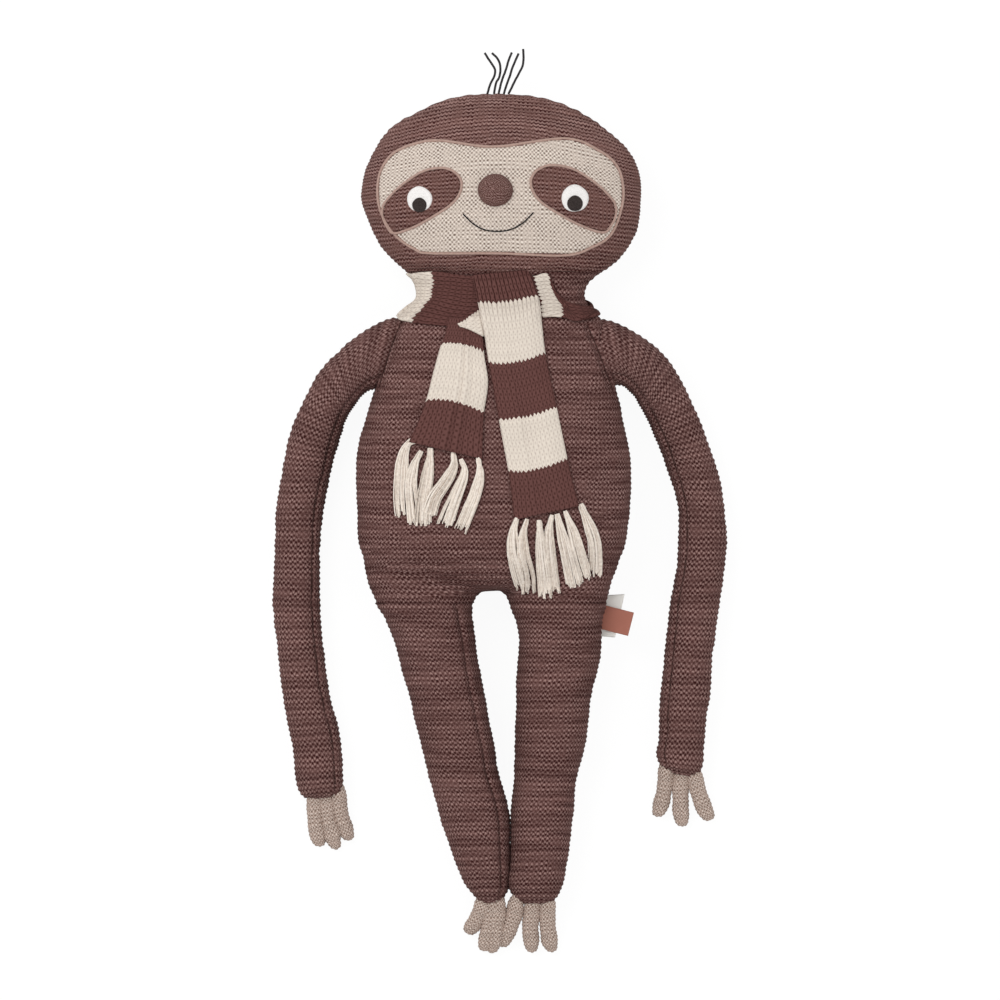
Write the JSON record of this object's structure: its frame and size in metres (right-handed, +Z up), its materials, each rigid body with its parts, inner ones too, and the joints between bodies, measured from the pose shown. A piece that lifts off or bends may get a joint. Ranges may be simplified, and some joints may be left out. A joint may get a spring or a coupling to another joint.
{
  "type": "plush sloth",
  "caption": "Long-limbed knitted sloth soft toy lying on its back, with a sewn face, soft claws and a striped, fringed scarf round its neck.",
  "frame": {"origin": "on the resting plane, below the middle of the toy's outline seen from above", "axes": "+Y to the head, +Z up out of the toy's front, +X to the right of someone looking down on it"},
  "size_m": [0.3156, 0.6287, 0.0978],
  "materials": {
    "brown_knit": "soft matte garter-stitch cotton knit",
    "stuffing": "loose polyester fibre fill",
    "beige_knit": "soft matte garter-stitch cotton knit",
    "patch_knit": "soft matte garter-stitch cotton knit",
    "white_felt": "thin matte felt",
    "black_felt": "thin matte felt",
    "nose_knit": "soft matte fine knit",
    "black_thread": "matte cotton thread",
    "claw_knit": "soft matte marled knit",
    "scarf_knit": "soft matte stockinette knit in brown and cream stripes",
    "fringe_yarn": "soft cotton yarn with frayed ends",
    "side_label": "woven ribbon, matte",
    "care_label": "thin satin ribbon"
  },
  "bodies": {
    "torso": {"torso_front_panel": "brown_knit", "torso_back_panel": "brown_knit", "torso_stuffing": "stuffing", "scarf_wrap": "scarf_knit"},
    "head": {"head_front_panel": "brown_knit", "head_back_panel": "brown_knit", "head_stuffing": "stuffing", "face_panel": "beige_knit", "left_eye_patch": "patch_knit", "right_eye_patch": "patch_knit", "left_eye_white": "white_felt", "right_eye_white": "white_felt", "left_pupil": "black_felt", "right_pupil": "black_felt", "nose": "nose_knit", "mouth_stitch": "black_thread", "hair_strand_1": "black_thread", "hair_strand_2": "black_thread", "hair_strand_3": "black_thread", "hair_strand_4": "black_thread", "hair_strand_5": "black_thread"},
    "long_scarf_tail": {"scarf_long_tail": "scarf_knit", "long_tail_tassel_1": "fringe_yarn", "long_tail_tassel_2": "fringe_yarn", "long_tail_tassel_3": "fringe_yarn", "long_tail_tassel_4": "fringe_yarn", "long_tail_tassel_5": "fringe_yarn", "long_tail_tassel_6": "fringe_yarn", "long_tail_tassel_7": "fringe_yarn"},
    "short_scarf_tail": {"scarf_short_tail": "scarf_knit", "short_tail_tassel_1": "fringe_yarn", "short_tail_tassel_2": "fringe_yarn", "short_tail_tassel_3": "fringe_yarn", "short_tail_tassel_4": "fringe_yarn", "short_tail_tassel_5": "fringe_yarn", "short_tail_tassel_6": "fringe_yarn"},
    "left_arm": {"left_arm_cover": "brown_knit", "left_arm_stuffing": "stuffing"},
    "left_leg": {"left_leg_cover": "brown_knit", "left_leg_stuffing": "stuffing"},
    "left_hand_claws": {"left_hand_claw_1": "claw_knit", "left_hand_claw_2": "claw_knit", "left_hand_claw_3": "claw_knit"},
    "left_foot_claws": {"left_foot_claw_1": "claw_knit", "left_foot_claw_2": "claw_knit", "left_foot_claw_3": "claw_knit"},
    "right_arm": {"right_arm_cover": "brown_knit", "right_arm_stuffing": "stuffing"},
    "right_leg": {"right_leg_cover": "brown_knit", "right_leg_stuffing": "stuffing", "side_label": "side_label", "care_label": "care_label"},
    "right_hand_claws": {"right_hand_claw_1": "claw_knit", "right_hand_claw_2": "claw_knit", "right_hand_claw_3": "claw_knit"},
    "right_foot_claws": {"right_foot_claw_1": "claw_knit", "right_foot_claw_2": "claw_knit", "right_foot_claw_3": "claw_knit"}
  },
  "joints": [
    {"name": "neck_fold", "type": "hinge", "parent": "torso", "child": "head", "pos_m": [0, 0.1584, 0.0692], "axis": [1, 0, 0], "range_deg": [0, 50]},
    {"name": "left_shoulder", "type": "hinge", "parent": "torso", "child": "left_arm", "pos_m": [-0.0791, 0.101, 0.0396], "axis": [0.9564, -0.2921, 0], "range_deg": [-90, 0]},
    {"name": "right_shoulder", "type": "hinge", "parent": "torso", "child": "right_arm", "pos_m": [0.0749, 0.1017, 0.0396], "axis": [0.9649, 0.2628, 0], "range_deg": [-90, 0]},
    {"name": "left_hip", "type": "hinge", "parent": "torso", "child": "left_leg", "pos_m": [-0.0532, -0.0733, 0.0664], "axis": [1, 0, 0], "range_deg": [-85, 0]},
    {"name": "right_hip", "type": "hinge", "parent": "torso", "child": "right_leg", "pos_m": [0.0406, -0.0733, 0.0664], "axis": [1, 0, 0], "range_deg": [-85, 0]},
    {"name": "left_wrist", "type": "hinge", "parent": "left_arm", "child": "left_hand_claws", "pos_m": [-0.1244, -0.2109, 0.015], "axis": [0.9945, 0.1045, 0], "range_deg": [-30, 30]},
    {"name": "right_wrist", "type": "hinge", "parent": "right_arm", "child": "right_hand_claws", "pos_m": [0.126, -0.1966, 0.015], "axis": [0.9945, -0.1045, 0], "range_deg": [-30, 30]},
    {"name": "left_ankle", "type": "hinge", "parent": "left_leg", "child": "left_foot_claws", "pos_m": [-0.0056, -0.2863, 0.019], "axis": [1, 0, 0], "range_deg": [-30, 30]},
    {"name": "right_ankle", "type": "hinge", "parent": "right_leg", "child": "right_foot_claws", "pos_m": [0.0217, -0.2869, 0.02], "axis": [1, 0, 0], "range_deg": [-30, 30]},
    {"name": "long_tail_lift", "type": "hinge", "parent": "torso", "child": "long_scarf_tail", "pos_m": [0.002, 0.1535, 0.078], "axis": [1, 0, 0], "range_deg": [-90, 0]},
    {"name": "short_tail_lift", "type": "hinge", "parent": "torso", "child": "short_scarf_tail", "pos_m": [-0.026, 0.1176, 0.082], "axis": [1, 0, 0], "range_deg": [-90, 0]}
  ]
}
